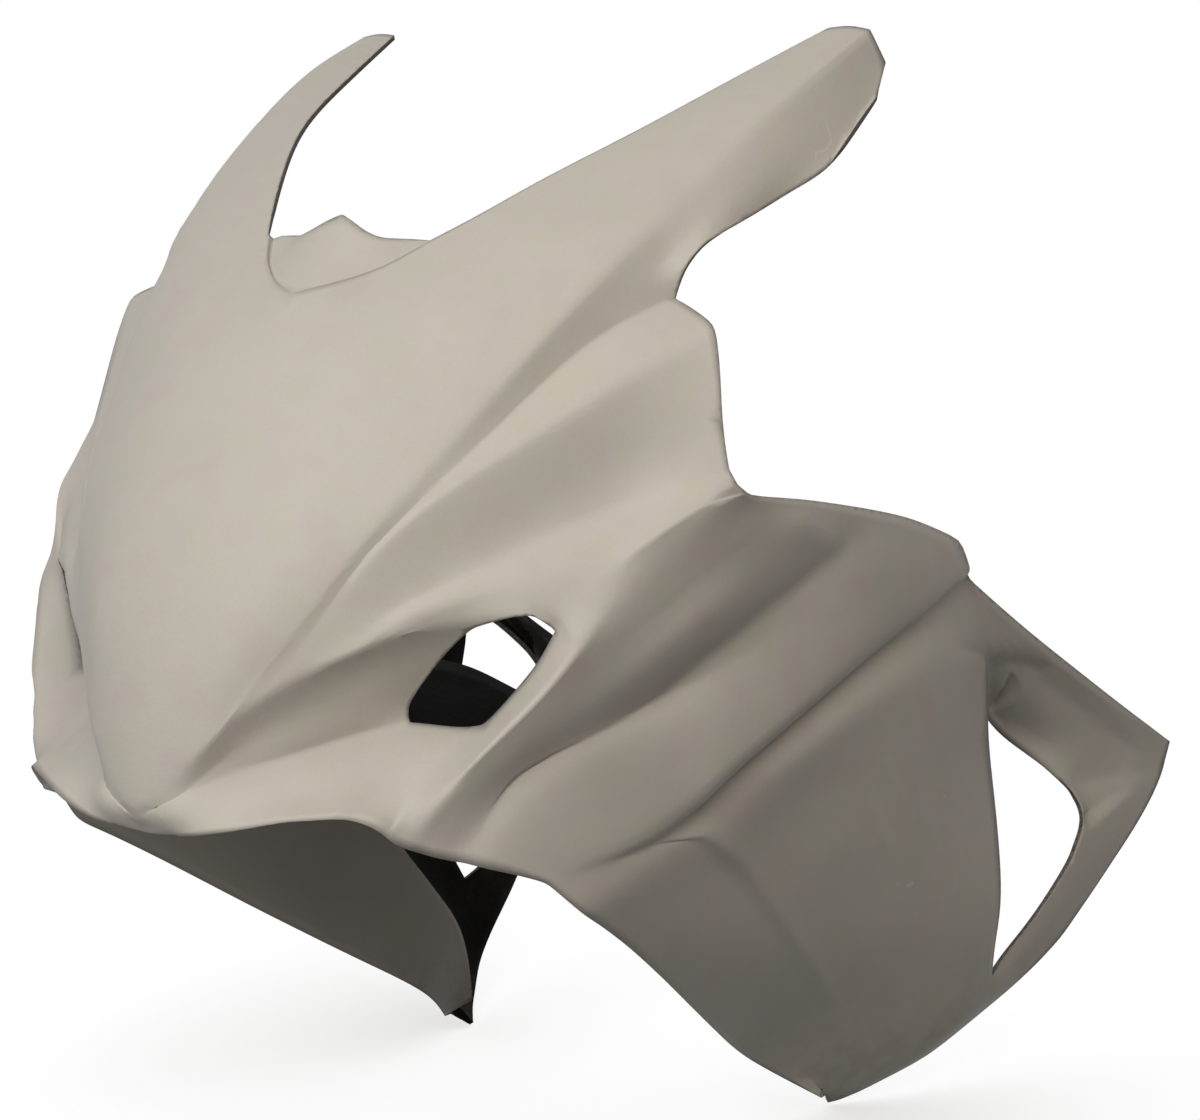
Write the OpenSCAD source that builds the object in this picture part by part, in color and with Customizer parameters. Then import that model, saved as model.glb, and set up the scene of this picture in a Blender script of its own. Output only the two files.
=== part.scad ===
// Upper fairing of a motorcycle: one moulded shell with a beaked hood, two screen arms,
// a screen seat, two ram-air ducts, creased side panels, vented rear wings and a chin arch.
// The skin is laid over feature lines, given as points [sideways, back from the beak, up],
// and each point is then carried to the stations that the sizes below set.

/* [Shell] */
// Thickness of the moulded laminate
wall = 3; // [2:0.1:5]
// Depth of the screen seat below the hood
seat_step = 3; // [1:0.1:8]
// Depth of the step at the front rim of the lower side panel
rim_step = 5; // [0.5:0.1:8]

/* [Half widths] */
// From the centre plane to the cheek
cheek_half = 135; // [110:1:162]
// From the centre plane to the rear of the duct mouth
mouth_half = 187; // [165:1:215]
// From the centre plane to the wing's corner
wing_half = 250; // [220:1:300]

/* [Lengths] */
// From the beak back to the screen seat
seat_reach = 129; // [100:1:160]
// From the beak back to the knuckle behind the ear
knuckle_reach = 217; // [175:1:260]
// From the beak back to the ends of the screen arms
arm_reach = 440; // [350:1:530]
// From the beak back to the side vent
vent_reach = 572; // [535:1:690]
// From the beak back to the wing's corner
wing_reach = 794; // [700:1:950]

/* [Heights] */
// From the lowest tip up to the foot of the side vent
vent_height = 76; // [60:1:95]
// From the lowest tip up to the beak
beak_height = 262; // [210:1:320]
// From the lowest tip up to the knuckle
knuckle_height = 448; // [365:1:540]
// From the lowest tip up to the screen seat
seat_height = 546; // [542:1:655]
// From the lowest tip up to the ends of the screen arms
arm_height = 701; // [660:1:840]

/* [Hidden] */

// Stations that the feature lines are drawn to, each with the size that it is carried to
overshoot = 20;
across_stations = [[0, 0], [135, cheek_half], [187, mouth_half], [250, wing_half],
    [270, wing_half + overshoot]];
back_stations = [[-20, -overshoot], [0, 0], [129, seat_reach], [217, knuckle_reach],
    [440, arm_reach], [572, vent_reach], [794, wing_reach], [814, wing_reach + overshoot]];
up_stations = [[-20, -overshoot], [0, 0], [76, vent_height], [262, beak_height],
    [448, knuckle_height], [546, seat_height], [701, arm_height], [721, arm_height + overshoot]];
function placed(p) =
    [lookup(p[0], across_stations), lookup(p[1], back_stations), lookup(p[2], up_stations)];

// Landmarks where feature lines meet
hood_foot = [0, -8, 279];
beak_tip = [0, 2, 262];
seat_front = [0, 129, 546];
tab_top = [0, 177, 592];
arm_root = [63, 182, 577];
arm_inner = [171, 439, 701];
arm_outer = [198, 440, 700];
arm_heel = [222, 387, 642];
ear_notch = [188, 242, 547];
ear_corner = [222, 232, 533];
ear_foot = [241, 217, 456];
knuckle = [245, 217, 448];
duct_apex = [187, 129, 381];
cheek = [135, 55, 264];
wing_corner = [250, 794, 203];
panel_tip = [153, 495, 0];
vent_top = [216, 572, 289];
vent_foot = [222, 577, 76];

// Cells along each stretch of the skin
lip_rows = 8;
roll_rows = 6;
arm_rows = 10;
seat_rows = 6;
hood_rows = 8;
mouth_rows = 22;
facet_rows = 2;
hole_rows = 6;
rim_rows = 7;
ridge_rows = 5;
vent_rows = 5;
wing_rows = 3;
ear_rows = lip_rows + roll_rows;
panel_rows = rim_rows + roll_rows;

// Vector helpers
function unit(v) = v / max(norm(v), 1e-9);
function blend(a, b, t) = a * (1 - t) + b * t;
function mirrored(p) = [-p[0], p[1], p[2]];
function total(v, i = 0) = i >= len(v) ? [0, 0, 0] : v[i] + total(v, i + 1);
function tail(v) = [for (i = [1:len(v) - 1]) v[i]];
function reversed(v) = [for (i = [len(v) - 1:-1:0]) v[i]];

// Smooth curve through control points, cut into n pieces
function chord_sum(p, i) = i == 0 ? 0 : chord_sum(p, i - 1) + norm(p[i] - p[i - 1]);
function slope_at(p, s, i) =
    i == 0 ? (p[1] - p[0]) / (s[1] - s[0]) :
    i == len(p) - 1 ? (p[i] - p[i - 1]) / (s[i] - s[i - 1]) :
    let (a = s[i] - s[i - 1], b = s[i + 1] - s[i])
    ((p[i] - p[i - 1]) / a * b + (p[i + 1] - p[i]) / b * a) / (a + b);
function hermite(p, q, u, v, d, t) =
    p * (2 * t * t * t - 3 * t * t + 1) + u * (d * (t * t * t - 2 * t * t + t))
    + q * (3 * t * t - 2 * t * t * t) + v * (d * (t * t * t - t * t));
function piece_of(s, x, i = 0) = i >= len(s) - 2 || x < s[i + 1] ? i : piece_of(s, x, i + 1);
function curve(p, n) =
    let (s = [for (i = [0:len(p) - 1]) chord_sum(p, i)], end = s[len(s) - 1])
    [for (k = [0:n])
        k == 0 ? p[0] :
        k == n ? p[len(p) - 1] :
        let (x = end * k / n, i = piece_of(s, x), d = s[i + 1] - s[i])
        hermite(p[i], p[i + 1], slope_at(p, s, i), slope_at(p, s, i + 1), d, (x - s[i]) / d)];

// Skin stretched across neighbouring feature lines, with crisp or soft folds on them
function across(p, q, cells, crisp) =
    let (n = len(p),
         s = [for (i = [0:n - 1]) chord_sum(p, i)],
         first = q == [] ? (p[1] - p[0]) / (s[1] - s[0])
                         : (p[1] - q) / (2 * norm(p[1] - p[0])),
         soft = [for (i = [0:n - 1]) i == 0 ? first : slope_at(p, s, i)])
    [for (k = [0:n - 2]) let (d = s[k + 1] - s[k], line = (p[k + 1] - p[k]) / d)
        for (j = [0:cells[k] - 1])
            j == 0 ? p[k] :
            hermite(p[k], p[k + 1],
                blend(soft[k], line, k == 0 && q != [] ? 0 : crisp[k]),
                blend(soft[k + 1], line, crisp[k + 1]), d, j / cells[k]),
     p[n - 1]];
function skin(rails, cells, crisp) =
    [for (i = [0:len(rails[0]) - 1])
        let (p = [for (r = rails) r[i]],
             q = abs(p[0][0]) < 0.01 && p[1][0] > 1 ? mirrored(p[1]) : [])
        across(p, q, cells, crisp)];
function column(grid, k) = [for (row = grid) row[k]];

// Hood and screen arm, from the centre plane out to the valley
centre_line = concat(
    curve([hood_foot, [0, -3, 320], [0, 10, 373], [0, 35, 427], [0, 75, 485], seat_front],
        hood_rows),
    tail(curve([seat_front, [20, 136, 551], [34, 148, 556], [48, 160, 563], arm_root],
        seat_rows)),
    tail(curve([arm_root, [91, 226, 605], [129, 293, 640], [156, 382, 678], arm_inner],
        arm_rows)));
crown_line = concat(
    curve([[34, 1, 305], [50, 20, 378], [62, 62, 455], [74, 118, 522], [118, 205, 583]],
        ear_rows),
    tail(curve([[118, 205, 583], [160, 293, 634], [177, 375, 676], [185, 440, 702]],
        arm_rows)));
ridge_line = concat(
    curve([[51, 12, 328], [87, 46, 392], [108, 72, 433], [134, 124, 488], [154, 171, 535],
        [170, 222, 577]], ear_rows),
    tail(curve([[170, 222, 577], [180, 259, 603], [191, 320, 642], [199, 393, 681], arm_outer],
        arm_rows)));
valley_line = concat(
    curve([[70, 28, 344], [106, 69, 418], [125, 97, 449], [140, 131, 477], [154, 165, 506],
        [169, 202, 531], ear_notch], ear_rows),
    tail(curve([ear_notch, [192, 240, 555], [195, 243, 567], [198, 254, 577], [201, 276, 586],
        [207, 319, 602], [219, 361, 621], arm_heel], arm_rows)));
brow_start = [for (i = [0:ear_rows]) blend(ridge_line[i], valley_line[i], 0.5)];
brow_line = concat(brow_start,
    tail(curve([brow_start[ear_rows], [191, 265, 592], [202, 325, 628], [210, 395, 660],
        [208, 441, 681]], arm_rows)));
hood = skin([centre_line, crown_line, ridge_line, brow_line, valley_line],
    [4, 4, 1, 2], [0, 0, 0.8, 0, 0.3]);

// Ear, from the valley down to the lip of the duct
lip_start = [125, 73, 375];
valley_start = [for (i = [0:ear_rows]) valley_line[i]];
crease_line = curve([[85, 41, 354], [115, 76, 425], [142, 113, 456], [170, 155, 484],
    [203, 205, 517], ear_corner], ear_rows);
hollow_line = curve([[100, 52, 363], [112, 65, 379], [130, 86, 394], [152, 117, 411],
    [174, 149, 425], [198, 180, 437], [219, 198, 447], ear_foot], ear_rows);
roll_line = curve([[116, 65, 371], [138, 83, 386], [162, 110, 396], [185, 134, 405],
    [207, 160, 418], [228, 187, 434], [243, 217, 452]], ear_rows);
lip_tail = curve([lip_start, [134, 81, 378], [153, 98, 383], [172, 114, 386], duct_apex],
    lip_rows);
bridge_line = curve([duct_apex, [205, 143, 401], [225, 172, 424], knuckle], roll_rows);
ear = skin([valley_start, crease_line, hollow_line, roll_line,
    concat(lip_tail, tail(bridge_line))], [3, 3, 3, 2], [0.3, 0.7, 0.3, 0, 0]);

// Ram-air duct, from the lip down to the chin ridge, with its front and rear ends
lip_line = concat(hood[0], tail(ear[0]), tail(lip_tail));
rim = [duct_apex, [186, 130, 372], [179, 126, 354], [167, 120, 337], [153, 110, 318],
    [148, 86, 300], [141, 64, 282], cheek];
function duct_rail(front, facet, edge, back, last) =
    concat(curve(concat(front, [facet]), mouth_rows), tail(curve([facet, edge], facet_rows)),
        tail(curve(concat([edge], back, [last]), hole_rows)));
duct = skin([lip_line,
    duct_rail([[0, -7, 275], [22, -3, 283], [37, 9, 301], [54, 22, 323], [73, 39, 338],
        [97, 62, 354]], [127, 86, 368], [150, 99, 377], [[165, 108, 381], [178, 118, 382]], rim[1]),
    duct_rail([[0, -6, 273], [22, -3, 281], [40, 14, 302], [58, 31, 319], [78, 52, 332]],
        [111, 86, 348], [132, 98, 362], [[155, 108, 366]], rim[2]),
    duct_rail([[0, -5, 271], [22, -3, 279], [45, 19, 300], [68, 42, 313]],
        [97, 82, 325], [105, 97, 329], [[140, 110, 336]], rim[3]),
    duct_rail([[0, -4, 269], [21, -5, 278], [45, 19, 295], [66, 44, 303]],
        [91, 80, 313], [107, 99, 316], [[124, 104, 315], [140, 108, 315]], rim[4]),
    duct_rail([[0, -2, 267], [22, -6, 276], [52, 20, 288], [84, 50, 297]],
        [106, 78, 304], [117, 87, 306], [[128, 90, 307], [140, 89, 304]], rim[5]),
    duct_rail([[0, 0, 265], [22, -6, 272], [60, 18, 280], [90, 43, 284]],
        [107, 59, 286], [116, 64, 285], [[126, 65, 285], [134, 65, 284]], rim[6]),
    duct_rail([beak_tip, [26, -3, 266], [60, 4, 271], [90, 17, 277]],
        [112, 30, 279], [118, 34, 278], [[127, 41, 275], [132, 48, 270]], cheek)],
    [1, 1, 1, 1, 1, 1, 1], [0.8, 0, 0, 0.2, 0.6, 0, 0.6, 0.8]);

// Upper side panel, from the cheek to its top rear edge
rim_line = concat(reversed(rim), tail(bridge_line));
function panel_rail(low, apex, high, fold, end) =
    concat(curve(concat(low, [apex]), rim_rows),
        tail(curve(concat([apex], high, [fold]), roll_rows - 1)), [end]);
groove_top = panel_rail([[183, 121, 238], [197, 157, 243], [212, 204, 256]], [226, 233, 281],
    [[238, 279, 305], [243, 316, 320], [244, 361, 334]], [240, 443, 351], [231, 518, 363]);
groove_foot = panel_rail([[185, 125, 235], [195, 162, 238], [203, 215, 248]], [216, 245, 273],
    [[228, 291, 297], [233, 328, 312], [234, 373, 326]], [230, 455, 343], [224, 526, 356]);
upper_panel = skin([rim_line,
    panel_rail([[140, 62, 261], [149, 63, 281], [160, 76, 296], [175, 92, 317],
        [189, 110, 338]], [203, 127, 365], [[220, 160, 406], [234, 189, 428]],
        [242, 207, 441], [246, 224, 444]),
    panel_rail([[146, 68, 258], [156, 75, 284], [175, 100, 307], [192, 122, 332]],
        [208, 150, 361], [[222, 180, 388], [232, 196, 405]], [242, 217, 428], [243, 240, 440]),
    panel_rail([[152, 76, 255], [163, 91, 289], [188, 129, 319]], [214, 169, 347],
        [[233, 200, 373]], [246, 285, 417], [239, 300, 430]),
    panel_rail([[158, 82, 253], [165, 106, 290], [188, 148, 309], [204, 184, 320]],
        [219, 222, 334], [[229, 249, 349], [236, 282, 363], [241, 320, 381]],
        [243, 344, 396], [238, 362, 419]),
    panel_rail([[167, 91, 249], [178, 116, 280], [196, 156, 300]], [222, 218, 321],
        [[238, 278, 338], [243, 316, 350]], [246, 382, 385], [235, 440, 402]),
    panel_rail([[174, 103, 245], [188, 135, 266], [205, 180, 282]], [226, 225, 304],
        [[239, 278, 322], [245, 322, 337]], [245, 430, 372], [230, 505, 382]),
    groove_top, groove_foot],
    [1, 2, 2, 2, 2, 1, 1, 1], [0.2, 0, 0.4, 0, 0.6, 0, 0, 0.9, 0.9]);

// Lower side panel and wing around the side vent
function wing_rail(front, ridge, panel, edge, arm, bend, end) =
    concat(curve([front, ridge - [rim_step, rim_step * 1.2, 1]], ridge_rows - 1),
        curve([ridge, panel[0]], rim_rows - ridge_rows),
        tail(curve(panel, roll_rows - 1)), [edge],
        tail(curve(concat([edge], arm, [bend]), vent_rows)),
        tail(curve([bend, end], wing_rows)));
lower_panel = skin([
    concat(groove_foot,
        tail(curve([groove_foot[panel_rows], [232, 580, 322], [240, 658, 277],
            [245, 715, 245]], vent_rows)),
        tail(curve([[245, 715, 245], wing_corner], wing_rows))),
    wing_rail([194, 144, 216], [214, 240, 241], [[229, 275, 267], [242, 325, 290],
        [246, 390, 309], [240, 471, 319]], [224, 552, 311],
        [[222, 576, 302], [225, 605, 284], [229, 645, 257]], [238, 705, 222], [250, 792, 200]),
    wing_rail([192, 161, 207], [212, 259, 228], [[227, 300, 259], [239, 352, 276],
        [243, 425, 293], [235, 511, 300]], [218, 565, 299],
        [[211, 580, 292], [213, 606, 268], [221, 648, 243]], [236, 700, 213], [250, 790, 196]),
    wing_rail([189, 180, 196], [210, 277, 218], [[226, 322, 251], [238, 372, 263],
        [242, 437, 273], [233, 513, 281]], vent_top,
        [[196, 605, 266], [188, 628, 240], [199, 650, 221], [213, 668, 204]], [229, 677, 187],
        [250, 787, 191]),
    wing_rail([183, 216, 174], [206, 320, 182], [[224, 355, 212], [238, 410, 232],
        [235, 495, 241]], [219, 570, 240], [[224, 620, 200]], [235, 679, 176], [250, 784, 185]),
    wing_rail([170, 278, 134], [201, 364, 144], [[221, 395, 178], [235, 440, 192],
        [234, 510, 192]], [227, 568, 192], [[232, 630, 175]], [238, 679, 167], [250, 778, 178]),
    wing_rail([149, 360, 82], [195, 398, 117], [[213, 425, 135], [230, 480, 140],
        [236, 530, 134]], [236, 562, 130], [[236, 620, 148]], [238, 676, 157], [249, 765, 165]),
    wing_rail([138, 412, 50], [185, 437, 82], [[199, 466, 86], [214, 512, 82],
        [223, 552, 78]], vent_foot, [[219, 599, 83], [225, 625, 100], [232, 648, 122]],
        [237, 664, 140], [246, 740, 145]),
    wing_rail([147, 448, 27], [172, 466, 42], [[182, 505, 30], [200, 540, 36],
        [212, 565, 50]], [221, 588, 66], [[223, 612, 79], [229, 643, 97]], [236, 668, 120],
        [242, 722, 130]),
    wing_rail([157, 470, 12], panel_tip, [[163, 508, 5], [172, 523, 11], [188, 549, 22],
        [201, 582, 38]], [213, 620, 55], [[222, 648, 70]], [229, 668, 84], [237, 702, 112])],
    [1, 1, 1, 2, 2, 2, 2, 2, 1], [0.9, 0.5, 0.5, 0, 0, 0.3, 0, 0, 0.4, 0]);

// Chin and inner return, from the ridge under the beak back to the arch edge
chin_ridge = concat(column(duct, 7), tail(upper_panel[0]), tail(lower_panel[0]));
chin_front = mouth_rows + facet_rows + hole_rows;
cheek_rows = len(upper_panel[0]) - 1;
return_rows = len(lower_panel[0]) - 1;
arch_edge = concat(
    curve([[0, 250, 321], [33, 250, 318], [72, 252, 306]], chin_front),
    tail(curve([[72, 252, 306], [94, 266, 290], [110, 290, 267]], cheek_rows)),
    tail(curve([[110, 290, 267], [130, 345, 207], [140, 394, 154], [145, 440, 108],
        [148, 472, 72], [149, 481, 50], [147, 484, 18]], return_rows)));
chin_mid = [for (i = [0:len(chin_ridge) - 1]) blend(chin_ridge[i], arch_edge[i], 0.5)];
chin = skin([chin_ridge, chin_mid, arch_edge], [2, 2], [0, 0, 0]);

// Seat for the screen, set below the hood and ending in the tab
seat_line = [for (i = [hood_rows:hood_rows + seat_rows]) centre_line[i]];
seat_floor = [for (p = seat_line) p + [0, seat_step * 0.6, -seat_step * 0.8]];
seat_edge = curve([tab_top, [14, 174, 586], [22, 173, 581], [29, 175, 579], [41, 186, 578],
    [57, 189, 577]], seat_rows);
seat = skin([seat_line, seat_floor, seat_edge], [1, 2], [0, 0.9, 0]);

// Cells of each patch, without those inside the duct hole and the side vent
hole_start = mouth_rows + facet_rows;
function in_hole(i, j) = i >= hole_start && j >= 1 && j < 4;
function in_vent(i, j) = i >= panel_rows && i < panel_rows + vent_rows && j >= 3 && j < 11;
function cell(g, i, j) = [g[i][j], g[i + 1][j], g[i + 1][j + 1], g[i][j + 1]];
function cells_of(g) = [for (i = [0:len(g) - 2]) for (j = [0:len(g[0]) - 2]) cell(g, i, j)];
duct_cells = [for (i = [0:len(duct) - 2]) for (j = [0:len(duct[0]) - 2])
    if (!in_hole(i, j)) cell(duct, i, j)];
wing_cells = [for (i = [0:len(lower_panel) - 2]) for (j = [0:len(lower_panel[0]) - 2])
    if (!in_vent(i, j)) cell(lower_panel, i, j)];
seat_cells = [for (c = cells_of(seat)) reversed(c)];
drawn_cells = concat(cells_of(hood), cells_of(ear), duct_cells, cells_of(upper_panel),
    wing_cells, cells_of(chin), seat_cells);
half_cells = [for (c = drawn_cells) [for (p = c) placed(p)]];
skin_cells = concat(half_cells, [for (c = half_cells) [for (p = reversed(c)) mirrored(p)]]);

// Shared corners get one number each
corner_list = [for (c = skin_cells) each c];
grid_step = 0.05;
grid_span = 50000;
function step_of(v) = round(v / grid_step) + grid_span / 2;
keys = [for (p = corner_list)
    step_of(p[0]) + step_of(p[1]) * grid_span + step_of(p[2]) * grid_span * grid_span];
firsts = search(keys, keys, 1);
points = [for (i = [0:len(firsts) - 1]) if (firsts[i] == i) corner_list[i]];
kept = [for (i = [0:len(firsts) - 1]) if (firsts[i] == i) i];
numbers = search(firsts, kept, 1);
faces = [for (i = [0:len(skin_cells) - 1]) [for (k = [0:3]) numbers[4 * i + k]]];

// Inner skin, moved in along the mean normal of the cells at each corner
normals = [for (f = faces)
    unit(cross(points[f[2]] - points[f[0]], points[f[3]] - points[f[1]]))];
meetings = search([for (i = [0:len(points) - 1]) i], numbers, 0);
inner_points = [for (i = [0:len(points) - 1])
    let (near = [for (m = meetings[i]) normals[floor(m / 4)]], mean = unit(total(near)),
         lean = max(0.6, total([for (n = near) [n * mean, 0, 0]])[0] / len(near)))
    points[i] - mean * (wall / lean)];

// Free edges join the two skins
count = len(points);
function edge_code(a, b) = a * count + b;
edges = [for (f = faces) for (k = [0:3]) [f[k], f[(k + 1) % 4]]];
codes = [for (e = edges) edge_code(e[0], e[1])];
partners = search([for (e = edges) edge_code(e[1], e[0])], codes, 1);
rim_faces = [for (i = [0:len(edges) - 1]) if (partners[i] == [])
    [edges[i][1], edges[i][0], edges[i][0] + count, edges[i][1] + count]];
function split(f) = [[f[0], f[1], f[2]], [f[0], f[2], f[3]]];
outer_faces = [for (f = faces) each split(f)];
inner_faces = [for (f = faces) each split([f[0], f[3], f[2], f[1]] + [count, count, count, count])];
edge_faces = [for (f = rim_faces) each split(f)];

// The origin lies under the middle of the shell, level with its lowest point
body_points = concat(points, inner_points);
front_end = min([for (p = body_points) p[1]]);
rear_end = max([for (p = body_points) p[1]]);
low_end = min([for (p = body_points) p[2]]);
body_faces = [for (f = concat(outer_faces, inner_faces, edge_faces)) reversed(f)];

module fairing_shell() {
    color([0.66, 0.63, 0.58])
        translate([0, -(front_end + rear_end) / 2, -low_end])
            polyhedron(body_points, body_faces);
}

fairing_shell();
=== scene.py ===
import bmesh
import bpy
import math
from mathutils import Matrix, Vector, kdtree


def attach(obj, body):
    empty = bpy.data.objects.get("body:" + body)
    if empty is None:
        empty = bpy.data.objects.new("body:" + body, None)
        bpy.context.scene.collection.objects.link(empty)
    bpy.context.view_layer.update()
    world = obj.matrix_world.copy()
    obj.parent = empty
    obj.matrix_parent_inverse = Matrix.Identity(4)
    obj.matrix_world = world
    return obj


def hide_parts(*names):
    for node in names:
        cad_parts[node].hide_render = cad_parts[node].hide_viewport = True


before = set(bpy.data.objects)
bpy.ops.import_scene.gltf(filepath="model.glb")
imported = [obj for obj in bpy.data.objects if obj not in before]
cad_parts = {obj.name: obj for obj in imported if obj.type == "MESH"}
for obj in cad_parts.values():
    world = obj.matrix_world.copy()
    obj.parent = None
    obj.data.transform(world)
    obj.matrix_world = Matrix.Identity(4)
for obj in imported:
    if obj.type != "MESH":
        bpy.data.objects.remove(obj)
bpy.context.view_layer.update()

# Moulded shell. The real piece is one glass-fibre laminate about three millimetres thick,
# laid up in a female mould, so every crease is rounded. It leaves the mould with a pale grey
# primer skin outside and bare black laminate inside, and its free edges are trimmed by hand.
OUTER, INNER, EDGE = 0, 1, 2
weld_distance = 0.00002
pair_fold = math.radians(80)
pair_skew = math.radians(70)
skin_limit = math.radians(60)
seed_agreement = 0.6
inner_skins = [
    (Vector((0, -0.36, 0.40)), Vector((0, 1, -0.3))),
    (Vector((0, -0.27, 0.29)), Vector((0, 0, 1))),
    (Vector((0, -0.22, 0.57)), Vector((0, 0.7, -0.7))),
]
outer_skins = [
    (Vector((0, -0.395, 0.40)), Vector((0, -1, 0.3))),
    (Vector((0, -0.27, 0.29)), Vector((0, 0, -1))),
    (Vector((0, -0.23, 0.577)), Vector((0, -0.64, 0.72))),
]
trimmed_edge = math.radians(62)
rim_width = 0.0042
vent_front = 0.18


def merged_copy(node):
    """The CAD node's mesh with its loose corners joined and its triangles paired."""
    bm = bmesh.new()
    bm.from_mesh(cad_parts[node].data)
    bmesh.ops.remove_doubles(bm, verts=bm.verts, dist=weld_distance)
    bmesh.ops.join_triangles(
        bm, faces=bm.faces, angle_face_threshold=pair_fold, angle_shape_threshold=pair_skew,
        cmp_seam=False, cmp_sharp=False, cmp_uvs=False, cmp_vcols=False, cmp_materials=False)
    return bm


def spread(start, limit):
    """All faces reached from one face without crossing an edge sharper than the limit."""
    reached = {start}
    front = [start]
    while front:
        face = front.pop()
        for edge in face.edges:
            if len(edge.link_faces) != 2 or edge.calc_face_angle() > limit:
                continue
            for other in edge.link_faces:
                if other not in reached:
                    reached.add(other)
                    front.append(other)
    return reached


bm = merged_copy("fairing_shell")


def reached_from(seeds):
    """All faces of the skins that start at the seeds, each a place and the way it faces."""
    found = set()
    for place, facing in seeds:
        near = [face for face in bm.faces if face.normal.dot(facing.normalized()) > seed_agreement]
        start = min(near, key=lambda face: (face.calc_center_median() - place).length)
        found |= spread(start, skin_limit)
    return found


inside = reached_from(inner_skins)
outside = reached_from(outer_skins)
for face in bm.faces:
    face.smooth = True
    beside = [other for edge in face.edges for other in edge.link_faces]
    longest = max(edge.calc_length() for edge in face.edges)
    width = face.calc_area() / longest * (2 if len(face.verts) == 3 else 1)
    at_vent = face.calc_center_median().y > vent_front
    sharp = any(edge.calc_face_angle() > trimmed_edge for edge in face.edges)
    if face in inside and not (width < rim_width and sharp and at_vent):
        face.material_index = INNER
    elif face not in outside and any(other in inside for other in beside):
        face.material_index = EDGE
    else:
        face.material_index = OUTER

# The mouth's outer side is a full round roll on the real shell, so its fold is eased here.
# Creases are held in proportion to their turn, except in the gusset between cheek and mouth.
mouth_roll = [Vector(place) for place in (
    (0.163, -0.312, 0.302), (0.189, -0.281, 0.341), (0.203, -0.264, 0.368),
    (0.220, -0.231, 0.409), (0.234, -0.202, 0.431))]
roll_reach = 0.030
roll_passes = 3
crease_start = math.radians(18)
crease_range = math.radians(60)
cheek_corner = Vector((0.135, -0.333, 0.278))
cheek_reach = 0.040
cheek_gusset = 0.015
free = {vert for edge in bm.edges if edge.calc_face_angle() > trimmed_edge for vert in edge.verts}


def on_one_side(point):
    """The point as it lies on the right-hand side."""
    return Vector((abs(point.x), point.y, point.z))


def nearest_on(path, point):
    """How far a point is from a path, how far above it, and how far along it from 0 to 1."""
    best = (1.0, 0.0, 0.0)
    for step, (start, end) in enumerate(zip(path, path[1:])):
        span = end - start
        share = min(1.0, max(0.0, (point - start).dot(span) / span.length_squared))
        away = point - start - span * share
        if away.length < best[0]:
            above = (away.z * span.y - away.y * span.z) / math.hypot(span.y, span.z)
            best = (away.length, above, (step + share) / (len(path) - 1))
    return best


rolled = [vert for vert in bm.verts
          if vert not in free and nearest_on(mouth_roll, on_one_side(vert.co))[0] < roll_reach]
for step in range(roll_passes):
    bmesh.ops.smooth_vert(
        bm, verts=rolled, factor=0.5, use_axis_x=True, use_axis_y=True, use_axis_z=True)
crease = bm.edges.layers.float.new("crease_edge")
for edge in bm.edges:
    turn = edge.calc_face_angle()
    near_cheek = (on_one_side(edge.verts[0].co) - cheek_corner).length < cheek_reach
    if near_cheek and (turn < trimmed_edge or edge.calc_length() > cheek_gusset):
        continue
    edge[crease] = min(1.0, max(0.0, (turn - crease_start) / crease_range))
draft_mesh = bpy.data.meshes.new("shell_draft")
draft = bpy.data.objects.new("shell_draft", draft_mesh)
bpy.context.scene.collection.objects.link(draft)
bm.to_mesh(draft_mesh)
bm.free()
rounding = draft.modifiers.new("rounding", "SUBSURF")
rounding.levels = 2
rounding.render_levels = 2
bpy.context.view_layer.update()
rounded = draft.evaluated_get(bpy.context.evaluated_depsgraph_get())
shell_mesh = bpy.data.meshes.new_from_object(rounded)
bpy.data.objects.remove(draft)
shell_mesh.name = "fairing_shell_skin"
shell = bpy.data.objects.new("fairing_shell_skin", shell_mesh)
bpy.context.scene.collection.objects.link(shell)

# Pressed details. The mould sharpens each side panel with a fold, a shoulder crease, a step and
# a raised lip. Each wing has a hollow, and in it a small leaf-shaped dimple.
panel_fold = [Vector(place) for place in (
    (0.184, -0.257, 0.307), (0.200, -0.226, 0.316), (0.213, -0.194, 0.328),
    (0.228, -0.167, 0.349), (0.239, -0.130, 0.368), (0.243, -0.092, 0.382),
    (0.246, -0.050, 0.400), (0.241, 0.010, 0.410))]
fold_press = 0.0090
fold_above = 0.018
fold_below = 0.014
fold_front_fade = 0.35
fold_rear_fade = 0.30
fold_reach = 0.06
shoulder_crease = [Vector(place) for place in (
    (0.247, -0.050, 0.400), (0.247, -0.068, 0.407), (0.248, -0.093, 0.417),
    (0.246, -0.116, 0.427), (0.244, -0.141, 0.436))]
crease_lift = 0.0028
crease_width = 0.010
crease_front_fade = 0.4
crease_rear_fade = 0.3
panel_step = [Vector(place) for place in (
    (0.203, -0.1765, 0.2507), (0.216, -0.1465, 0.2757), (0.228, -0.1005, 0.2997),
    (0.233, -0.0635, 0.3147), (0.234, -0.0185, 0.3287), (0.230, 0.0635, 0.3457),
    (0.224, 0.1345, 0.3587))]
step_press = 0.0055
step_lift = 0.0035
step_wall = 0.0075
step_ease = 0.026
step_front_fade = 0.12
step_rear_fade = 0.22
panel_lip = [Vector(place) for place in (
    (0.214, -0.158, 0.247), (0.212, -0.108, 0.214), (0.209, -0.075, 0.185),
    (0.203, -0.033, 0.148), (0.198, -0.003, 0.125), (0.188, 0.039, 0.087),
    (0.179, 0.062, 0.058), (0.167, 0.080, 0.030))]
lip_lift = 0.0018
lip_width = 0.0060
hollow_arch = [(0.182, 0.270), (0.184, 0.293), (0.191, 0.3005), (0.206, 0.298), (0.225, 0.294),
               (0.248, 0.285), (0.288, 0.2605), (0.363, 0.209)]
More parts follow.
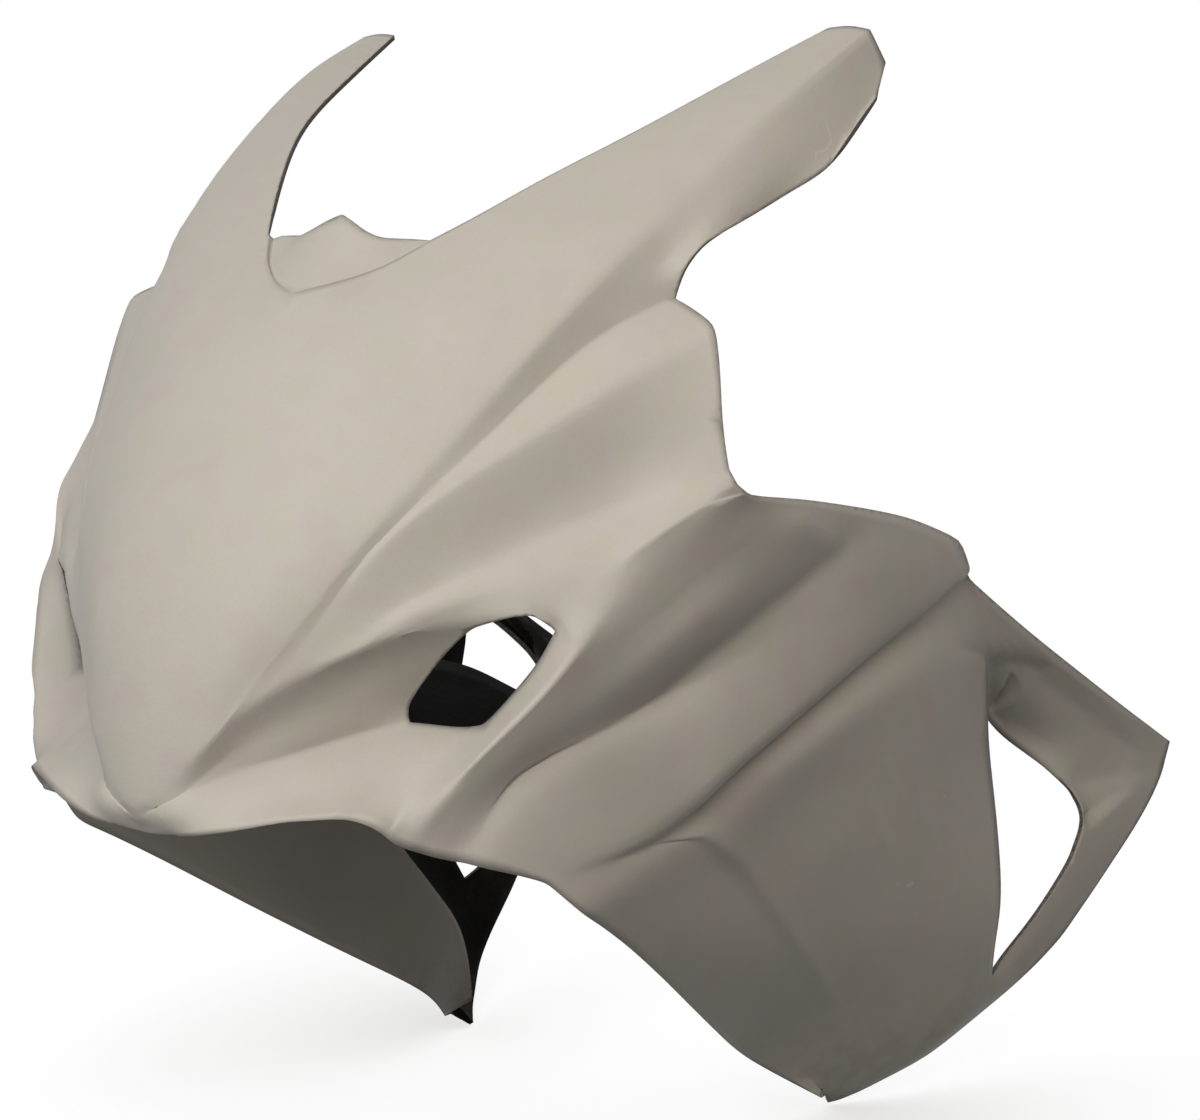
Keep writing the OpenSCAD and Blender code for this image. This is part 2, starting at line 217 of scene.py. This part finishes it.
hollow_foot = [(0.182, 0.10), (0.28, 0.155), (0.38, 0.187)]
hollow_front = 0.181
hollow_top = 0.31
hollow_inmost = 0.17
hollow_wall = 0.007
hollow_press = 0.0075
hollow_fade_start = 0.30
hollow_fade = 0.08
leaf_tip = Vector((0.2035, 0.231, 0.249))
leaf_top = Vector((0.227, 0.219, 0.280))
leaf_middle = (leaf_tip + leaf_top) / 2
leaf_axis = leaf_top - leaf_tip
leaf_facing = Vector((0.72, -0.44, -0.54)).normalized()
leaf_side = Vector((0.30, 0.87, -0.40)).normalized()
leaf_width = 0.011
leaf_roundness = 0.8
leaf_wall = 0.002
leaf_press = 0.0070
leaf_floor = 0.6
leaf_patch = 0.030
leaf_cuts = 2
inner_relief = 0.0050
relief_widths = {"fold": 0.014, "step": 0.018, "leaf": 0.028, "arch": 0.012}
detail_inmost = 0.13
detail_fade = 0.014
plain_rim = 0.001
rubbed_reach = 0.005
bm = bmesh.new()
bm.from_mesh(shell_mesh)
near_leaf = [edge for edge in bm.edges
             if (on_one_side(edge.verts[0].co) - leaf_middle).length < leaf_patch]
bmesh.ops.subdivide_edges(bm, edges=near_leaf, cuts=leaf_cuts, use_grid_fill=True)


def bell(distance, width):
    """A smooth hump: 1 at the middle, falling to nothing past twice its width."""
    return math.exp(-(distance / width) ** 2)


def smooth_step(value):
    """Rises smoothly from 0 to 1 as the value does."""
    value = min(1.0, max(0.0, value))
    return value * value * (3 - 2 * value)


def height_of(line, along):
    """Height of a line of (along, height) points at a place along it."""
    for (y0, z0), (y1, z1) in zip(line, line[1:]):
        if along <= y1:
            return z0 + (z1 - z0) * (along - y0) / (y1 - y0)
    return line[-1][1]


def hollow_depth(point):
    """Depth of the wing's hollow, which starts sharply under its arched upper edge."""
    if point.y < hollow_front or point.z > hollow_top or point.x < hollow_inmost:
        return 0.0
    below = smooth_step((height_of(hollow_arch, point.y) - point.z) / hollow_wall)
    front = smooth_step((point.y - hollow_front) / hollow_wall)
    foot = smooth_step((point.z - height_of(hollow_foot, point.y)) / hollow_wall)
    fade = 1 - smooth_step((point.y - hollow_fade_start) / hollow_fade)
    return hollow_press * below * front * foot * fade


def leaf_depth(point):
    """Depth of the dimple: steep at its straight front edge, rising gently to its round one."""
    share = (point - leaf_tip).dot(leaf_axis) / leaf_axis.length_squared
    if share <= 0 or share >= 1:
        return 0.0
    away = (point - leaf_tip - leaf_axis * share).dot(leaf_side)
    width = leaf_width * math.sin(math.pi * share) ** leaf_roundness
    if away < 0:
        slope = smooth_step(1 + away / leaf_wall)
    else:
        slope = max(0.0, 1 - away / max(width, 0.001))
    return leaf_press * math.sin(math.pi * share) ** leaf_floor * slope


def pressed_out(point):
    """How far the side panel's fold, crease, step and lip stand out of the plain surface."""
    out = 0.0
    reach, above, along = nearest_on(panel_fold, point)
    if reach < fold_reach:
        ends = smooth_step(along / fold_front_fade) * smooth_step((1 - along) / fold_rear_fade)
        out -= fold_press * ends * math.exp(-reach / (fold_above if above > 0 else fold_below))
    reach, above, along = nearest_on(shoulder_crease, point)
    rear = smooth_step(crease_rear_fade + along / crease_rear_fade)
    ends = smooth_step((1 - along) / crease_front_fade) * rear
    out += crease_lift * ends * math.exp(-reach / crease_width)
    reach, above, along = nearest_on(panel_step, point)
    ends = smooth_step(along / step_front_fade) * smooth_step((1 - along) / step_rear_fade)
    if above < 0:
        fallen = smooth_step(reach / step_wall)
        out -= step_press * ends * fallen * bell(reach, step_ease)
        out += step_lift * ends * (1 - fallen)
    else:
        out += step_lift * ends * bell(reach, step_ease)
    reach, above, along = nearest_on(panel_lip, point)
    return out + lip_lift * bell(reach, lip_width)


def relief(point):
    """How much further the inner skin is pressed in, so that the wall keeps some thickness."""
    gaps = {
        "fold": nearest_on(panel_fold, point)[0],
        "step": nearest_on(panel_step, point)[0],
        "leaf": (point - leaf_middle).length,
    }
    if hollow_depth(point) > 0:
        gaps["arch"] = max(0.0, height_of(hollow_arch, point.y) - point.z)
    return inner_relief * max(bell(gap, relief_widths[form]) for form, gap in gaps.items())


# Distance to the trimmed edges. The details fade out there, and the primer is rubbed there.
rim = {vert for face in bm.faces if face.material_index == EDGE for vert in face.verts}
rim_tree = kdtree.KDTree(len(rim))
for place, vert in enumerate(rim):
    rim_tree.insert(vert.co, place)
rim_tree.balance()
rubbed = bm.verts.layers.float.new("rubbed")
for vert in bm.verts:
    from_rim = rim_tree.find(vert.co)[2]
    vert[rubbed] = 1 - smooth_step(from_rim / rubbed_reach)
    side = 1 if vert.co.x > 0 else -1
    point = on_one_side(vert.co)
    if point.x < detail_inmost:
        continue
    out = pressed_out(point) - hollow_depth(point)
    if all(face.material_index == INNER for face in vert.link_faces):
        out -= relief(point)
    vert.co.x += side * out * smooth_step((from_rim - plain_rim) / detail_fade)
    if (point - leaf_tip).length < 2 * leaf_axis.length:
        deep = leaf_depth(point)
        vert.co -= Vector((side * leaf_facing.x, leaf_facing.y, leaf_facing.z)) * deep
bm.to_mesh(shell_mesh)
bm.free()

# Primer. A sprayed matt undercoat, pale warm grey. It is a little mottled where it went on
# thicker, has a fine orange peel, and is rubbed through to a dull brown along free edges.


def wired(tree, kind, inputs=(), **settings):
    """A new node with its settings made, and its inputs given as values or linked sockets."""
    node = tree.nodes.new(kind)
    for name, value in settings.items():
        setattr(node, name, value)
    for key, value in inputs:
        if isinstance(value, bpy.types.NodeSocket):
            tree.links.new(value, node.inputs[key])
        else:
            node.inputs[key].default_value = value
    return node


def math_node(tree, operation, *values):
    """Output socket of a math node on values or sockets."""
    return wired(tree, "ShaderNodeMath", list(enumerate(values)), operation=operation).outputs[0]


def eased(tree, value, low, high):
    """Output socket that rises smoothly from 0 to 1 as the value goes from low to high."""
    return wired(tree, "ShaderNodeMapRange", [
        ("Value", value), ("From Min", low), ("From Max", high)],
        interpolation_type="SMOOTHSTEP").outputs["Result"]


def noise(tree, point, size, detail=2.0, stretch=(1, 1, 1)):
    """Output socket of a noise whose patches are about as wide as the size, in metres."""
    stretched = wired(tree, "ShaderNodeVectorMath", [(0, point), (1, stretch)],
                      operation="MULTIPLY").outputs["Vector"]
    scale = math_node(tree, "DIVIDE", 1.0, size)
    return wired(tree, "ShaderNodeTexNoise", [
        ("Vector", stretched), ("Scale", scale), ("Detail", detail)]).outputs["Fac"]


def tinted(tree, colour, fac, towards, kind="MIX"):
    """Output socket of a colour mixed towards another one."""
    return wired(tree, "ShaderNodeMix", [
        ("Factor", fac), (6, colour), (7, towards)],
        data_type="RGBA", blend_type=kind).outputs[2]


def new_group(name, sockets_in, sockets_out):
    """An empty node group with its sockets, and its inner input and output nodes."""
    tree = bpy.data.node_groups.new(name, "ShaderNodeTree")
    for label, kind, value in sockets_in:
        socket = tree.interface.new_socket(label, in_out="INPUT", socket_type="NodeSocket" + kind)
        if value is not None:
            socket.default_value = value
    for label, kind in sockets_out:
        tree.interface.new_socket(label, in_out="OUTPUT", socket_type="NodeSocket" + kind)
    return tree, tree.nodes.new("NodeGroupInput").outputs, tree.nodes.new("NodeGroupOutput").inputs


hue_patch = 0.030
chip_size = 0.004
peel_size = 0.0035
rag_size = 0.002


def sprayed_coat():
    """Node group: the colour, roughness and surface of a sprayed and rubbed matt coat."""
    tree, given, made = new_group("sprayed_coat", [
        ("Point", "Vector", None), ("Colour", "Color", (0.5, 0.5, 0.5, 1)),
        ("Rubbed Colour", "Color", (0.2, 0.2, 0.2, 1)), ("Rubbed", "Float", 0.0),
        ("Mottle Size", "Float", 0.05), ("Mottle", "Float", 0.06),
        ("Grain Size", "Float", 0.001), ("Grain", "Float", 0.04),
        ("Roughness", "Float", 0.55), ("Peel Height", "Float", 0.0001)],
        [("Colour", "Color"), ("Roughness", "Float"), ("Normal", "Vector")])
    point = given["Point"]
    broad = noise(tree, point, given["Mottle Size"], 3.0)
    shifted = wired(tree, "ShaderNodeVectorMath", [(0, point), (1, (3.1, 1.7, 5.3))]).outputs[0]
    warm = noise(tree, shifted, hue_patch, 1.0)
    grain = noise(tree, point, given["Grain Size"], 2.0)
    broad_part = math_node(tree, "MULTIPLY", math_node(tree, "SUBTRACT", broad, 0.5), given["Mottle"])
    grain_part = math_node(tree, "MULTIPLY", math_node(tree, "SUBTRACT", grain, 0.5), given["Grain"])
    level = math_node(tree, "ADD", math_node(tree, "ADD", broad_part, grain_part), 1.0)
    bright = wired(tree, "ShaderNodeVectorMath", [(0, given["Colour"]), ("Scale", level)],
                   operation="SCALE").outputs["Vector"]
    pinkish = tinted(tree, bright, eased(tree, warm, 0.45, 0.75), (1.0, 0.965, 0.965, 1), "MULTIPLY")
    olive = tinted(tree, pinkish, eased(tree, warm, 0.55, 0.25), (0.985, 1.0, 0.95, 1), "MULTIPLY")
    chipped = math_node(tree, "ADD", given["Rubbed"], math_node(
        tree, "MULTIPLY", math_node(tree, "SUBTRACT", noise(tree, point, chip_size, 4.0), 0.5), 0.9))
    worn = eased(tree, chipped, 0.60, 1.35)
    tree.links.new(tinted(tree, olive, worn, given["Rubbed Colour"]), made["Colour"])
    rough = math_node(tree, "ADD", given["Roughness"], math_node(tree, "MULTIPLY", broad_part, 1.2))
    rough = math_node(tree, "ADD", rough, math_node(tree, "MULTIPLY", worn, 0.12))
    tree.links.new(rough, made["Roughness"])
    peel = math_node(tree, "ADD", noise(tree, point, peel_size, 1.0), math_node(
        tree, "MULTIPLY", grain, 0.3))
    bump = wired(tree, "ShaderNodeBump", [
        ("Height", peel), ("Distance", given["Peel Height"]), ("Strength", 1.0)])
    tree.links.new(bump.outputs["Normal"], made["Normal"])
    return tree


def short_mark():
    """Node group: a mask that is 1 on a straight scratch or speck and 0 away from it."""
    tree, given, made = new_group("short_mark", [
        ("Point", "Vector", None), ("Start", "Vector", None), ("End", "Vector", None),
        ("Width", "Float", 0.001), ("Raggedness", "Float", 0.5)], [("Mask", "Float")])

    def vectors(operation, *values):
        """A vector math node on values or sockets."""
        return wired(tree, "ShaderNodeVectorMath", list(enumerate(values)), operation=operation)

    along = vectors("SUBTRACT", given["End"], given["Start"]).outputs["Vector"]
    away = vectors("SUBTRACT", given["Point"], given["Start"]).outputs["Vector"]
    share = wired(tree, "ShaderNodeMath", [
        (0, vectors("DOT_PRODUCT", away, along).outputs["Value"]),
        (1, vectors("DOT_PRODUCT", along, along).outputs["Value"])],
        operation="DIVIDE", use_clamp=True).outputs[0]
    on_line = wired(tree, "ShaderNodeVectorMath", [(0, along), ("Scale", share)],
                    operation="SCALE").outputs["Vector"]
    gap = vectors("DISTANCE", away, on_line).outputs["Value"]
    ragged = math_node(tree, "MULTIPLY", math_node(
        tree, "SUBTRACT", noise(tree, given["Point"], rag_size, 3.0), 0.5), given["Raggedness"])
    share_out = math_node(tree, "ADD", math_node(tree, "DIVIDE", gap, given["Width"]), ragged)
    tree.links.new(eased(tree, share_out, 1.0, 0.3), made["Mask"])
    return tree


coat_group = sprayed_coat()
mark_group = short_mark()
primer = bpy.data.materials.new("grey_primer")
primer.use_nodes = True
tree = primer.node_tree
bsdf = tree.nodes["Principled BSDF"]
point = tree.nodes.new("ShaderNodeTexCoord").outputs["Object"]
edge_rub = wired(tree, "ShaderNodeAttribute", attribute_name="rubbed").outputs["Fac"]
coat = wired(tree, "ShaderNodeGroup", node_tree=coat_group)
for name, value in [
        ("Colour", (0.50, 0.468, 0.418, 1)), ("Rubbed Colour", (0.20, 0.17, 0.14, 1)),
        ("Mottle Size", 0.06), ("Mottle", 0.11), ("Grain Size", 0.0016), ("Grain", 0.08),
        ("Roughness", 0.55), ("Peel Height", 0.00012)]:
    coat.inputs[name].default_value = value
tree.links.new(point, coat.inputs["Point"])
tree.links.new(edge_rub, coat.inputs["Rubbed"])
colour = coat.outputs["Colour"]

# Handling marks on the primer: a scratch on the screen arm's end, specks and a wiped smear on
# the side panel; and the primer made darker and browner in patches towards the bottom.
scratch = [(0.212, -0.024, 0.648), (0.215, -0.024, 0.642), (0.216, -0.025, 0.638),
           (0.216, -0.032, 0.633), (0.214, -0.039, 0.632), (0.215, -0.040, 0.628)]
scratch_width = 0.0011
scratch_strength = 0.35
scuffed_colour = (0.66, 0.60, 0.53, 1)
low_tint_colour = (0.33, 0.27, 0.20, 1)
low_tint_height = 0.115
low_tint_patch = 0.018
low_tint_strength = 0.55
marks = [(start, end, scratch_width, scratch_strength)
         for start, end in zip(scratch, scratch[1:])]
marks += [
    ((0.2335, 0.052, 0.171), (0.2335, 0.056, 0.172), 0.0022, 0.75),
    ((0.2315, 0.041, 0.174), (0.2315, 0.043, 0.174), 0.0018, 0.35),
    ((0.239, 0.087, 0.223), (0.239, 0.089, 0.223), 0.0018, 0.35),
    ((0.243, 0.006, 0.262), (0.242, 0.031, 0.238), 0.006, 0.12),
    ((0.237, 0.008, 0.223), (0.236, 0.029, 0.203), 0.007, 0.14),
    ((0.240, -0.005, 0.245), (0.239, 0.012, 0.220), 0.009, 0.09)]
for start, end, width, strength in marks:
    mark = wired(tree, "ShaderNodeGroup", node_tree=mark_group)
    mark.inputs["Start"].default_value = start
    mark.inputs["End"].default_value = end
    mark.inputs["Width"].default_value = width
    tree.links.new(point, mark.inputs["Point"])
    shown = math_node(tree, "MULTIPLY", mark.outputs["Mask"], strength)
    colour = tinted(tree, colour, shown, scuffed_colour)
# The primer is made darker and browner in patches below a set height, more so towards the bottom.
height = wired(tree, "ShaderNodeSeparateXYZ", [(0, point)]).outputs["Z"]
low = eased(tree, height, low_tint_height, 0.0)
patchy = eased(tree, noise(tree, point, low_tint_patch, 5.0), 0.35, 0.75)
low_tint = math_node(tree, "MULTIPLY", low, patchy)
shown = math_node(tree, "MULTIPLY", low_tint, low_tint_strength)
colour = tinted(tree, colour, shown, low_tint_colour)
tree.links.new(colour, bsdf.inputs["Base Color"])
tree.links.new(coat.outputs["Roughness"], bsdf.inputs["Roughness"])
tree.links.new(coat.outputs["Normal"], bsdf.inputs["Normal"])
bsdf.inputs["Specular IOR Level"].default_value = 0.3

# Bare laminate. Black glass-fibre mat with the strands still showing under a dull resin film.
strand_width = 0.004
laminate = bpy.data.materials.new("black_laminate")
laminate.use_nodes = True
tree = laminate.node_tree
bsdf = tree.nodes["Principled BSDF"]
point = tree.nodes.new("ShaderNodeTexCoord").outputs["Object"]
strands = math_node(
    tree, "MAXIMUM", noise(tree, point, strand_width, 2.0, (0.15, 1, 1)),
    noise(tree, point, strand_width, 2.0, (1, 0.15, 0.4)))
film = noise(tree, point, 0.05, 2.0)
resin = tinted(
    tree, (0.005, 0.0045, 0.004, 1), eased(tree, strands, 0.5, 0.8), (0.014, 0.012, 0.011, 1))
tree.links.new(resin, bsdf.inputs["Base Color"])
dull = math_node(tree, "ADD", math_node(tree, "MULTIPLY", film, 0.3), 0.68)
tree.links.new(dull, bsdf.inputs["Roughness"])
relief = wired(tree, "ShaderNodeBump", [
    ("Height", strands), ("Distance", 0.0004), ("Strength", 0.8)])
tree.links.new(relief.outputs["Normal"], bsdf.inputs["Normal"])
bsdf.inputs["Specular IOR Level"].default_value = 0.06

# Trimmed edge. The laminate's sawn and filed rim: primer dust over dark fibre.
trimmed_rim = bpy.data.materials.new("trimmed_rim")
trimmed_rim.use_nodes = True
tree = trimmed_rim.node_tree
bsdf = tree.nodes["Principled BSDF"]
point = tree.nodes.new("ShaderNodeTexCoord").outputs["Object"]
filed = noise(tree, point, 0.0018, 4.0)
fibre = tinted(tree, (0.10, 0.088, 0.075, 1), eased(tree, filed, 0.4, 0.7), (0.25, 0.225, 0.195, 1))
tree.links.new(fibre, bsdf.inputs["Base Color"])
tree.links.new(eased(tree, filed, -0.6, 1.0), bsdf.inputs["Roughness"])
relief = wired(tree, "ShaderNodeBump", [
    ("Height", filed), ("Distance", 0.0003), ("Strength", 0.8)])
tree.links.new(relief.outputs["Normal"], bsdf.inputs["Normal"])
bsdf.inputs["Specular IOR Level"].default_value = 0.2

for paint in (primer, laminate, trimmed_rim):
    shell.data.materials.append(paint)
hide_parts("fairing_shell")
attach(shell, "root")

# Studio. A pale floor just under the shell's two tips. To the camera it is as white as the
# backdrop, apart from the soft shadow that the shell leaves close to it.
floor_size = 30
shadow_reach = 0.25
bpy.ops.mesh.primitive_plane_add(size=floor_size, location=(0, 0, -0.002))
floor = bpy.context.object
floor.name = "studio_floor"
floor_paint = bpy.data.materials.new("studio_floor")
floor_paint.use_nodes = True
tree = floor_paint.node_tree
bsdf = tree.nodes["Principled BSDF"]
bsdf.inputs["Base Color"].default_value = (0.1, 0.1, 0.1, 1)
bsdf.inputs["Roughness"].default_value = 0.9


def seen_or_reflected(tree):
    """Socket that is 1 for what the camera sees, directly, in gloss or through glass."""
    path = tree.nodes.new("ShaderNodeLightPath")
    total = path.outputs["Is Camera Ray"]
    for ray in ("Is Glossy Ray", "Is Transmission Ray"):
        either = tree.nodes.new("ShaderNodeMath")
        either.operation = "MAXIMUM"
        tree.links.new(total, either.inputs[0])
        tree.links.new(path.outputs[ray], either.inputs[1])
        total = either.outputs[0]
    return total


openness = tree.nodes.new("ShaderNodeAmbientOcclusion")
openness.inputs["Distance"].default_value = shadow_reach
shade = tree.nodes.new("ShaderNodeValToRGB")
shade.color_ramp.elements[0].color = (0.62, 0.61, 0.60, 1)
shade.color_ramp.elements[1].color = (1, 1, 1, 1)
shade.color_ramp.elements[1].position = 0.95
white = tree.nodes.new("ShaderNodeEmission")
mix = tree.nodes.new("ShaderNodeMixShader")
tree.links.new(openness.outputs["AO"], shade.inputs["Fac"])
tree.links.new(shade.outputs["Color"], white.inputs["Color"])
tree.links.new(seen_or_reflected(tree), mix.inputs["Fac"])
tree.links.new(bsdf.outputs["BSDF"], mix.inputs[1])
tree.links.new(white.outputs["Emission"], mix.inputs[2])
tree.links.new(mix.outputs["Shader"], tree.nodes["Material Output"].inputs["Surface"])
floor.data.materials.append(floor_paint)

# Light. Three soft lamps stand in front of the shell: one high towards its far side, one low
# ahead of it, and a warmer one on the camera's side. The room itself adds hardly any light.
lamp_reach = 3.2
lamp_size = 1.8
lamp_target = Vector((0, 0, 0.35))


def soft_lamp(name, azimuth, elevation, power, colour):
    """A square studio lamp, placed round the shell and aimed at its middle."""
    side = math.radians(azimuth)
    rise = math.radians(elevation)
    towards = Vector((
        math.sin(side) * math.cos(rise), -math.cos(side) * math.cos(rise), math.sin(rise)))
    data = bpy.data.lights.new(name, "AREA")
    data.shape = "SQUARE"
    data.size = lamp_size
    data.energy = power
    data.color = colour
    lamp = bpy.data.objects.new(name, data)
    lamp.location = lamp_target + towards * lamp_reach
    lamp.rotation_mode = "QUATERNION"
    lamp.rotation_quaternion = (-towards).to_track_quat("-Z", "Y")
    bpy.context.scene.collection.objects.link(lamp)


soft_lamp("key_lamp", -20, 50, 26, (1.0, 1.0, 0.99))
soft_lamp("front_lamp", 8, 26, 43, (1.0, 1.0, 0.995))
soft_lamp("side_lamp", 52, 38, 36, (1.0, 0.94, 0.86))

world = bpy.data.worlds.new("studio")
bpy.context.scene.world = world
world.use_nodes = True
tree = world.node_tree
room = tree.nodes["Background"]
room.inputs["Color"].default_value = (1.0, 0.88, 0.76, 1)
room.inputs["Strength"].default_value = 0.02
backdrop = tree.nodes.new("ShaderNodeBackground")
backdrop.inputs["Color"].default_value = (1, 1, 1, 1)
backdrop.inputs["Strength"].default_value = 1.0
mix = tree.nodes.new("ShaderNodeMixShader")
tree.links.new(seen_or_reflected(tree), mix.inputs["Fac"])
tree.links.new(room.outputs["Background"], mix.inputs[1])
tree.links.new(backdrop.outputs["Background"], mix.inputs[2])
tree.links.new(mix.outputs["Shader"], tree.nodes["World Output"].inputs["Surface"])

# Camera. It stands to the shell's front and right, slightly above it, as the photographer did.
camera_azimuth = math.radians(34.89)
camera_elevation = math.radians(8.63)
camera_data = bpy.data.cameras.new("camera")
camera_data.lens = 90
camera_data.sensor_width = 36
camera = bpy.data.objects.new("camera", camera_data)
back = Vector((
    math.sin(camera_azimuth) * math.cos(camera_elevation),
    -math.cos(camera_azimuth) * math.cos(camera_elevation),
    math.sin(camera_elevation)))
camera.location = (1.1286, -1.5726, 0.6597)
camera.rotation_mode = "QUATERNION"
camera.rotation_quaternion = (-back).to_track_quat("-Z", "Y")
bpy.context.scene.collection.objects.link(camera)
bpy.context.scene.camera = camera
bpy.context.scene.view_settings.view_transform = "Standard"
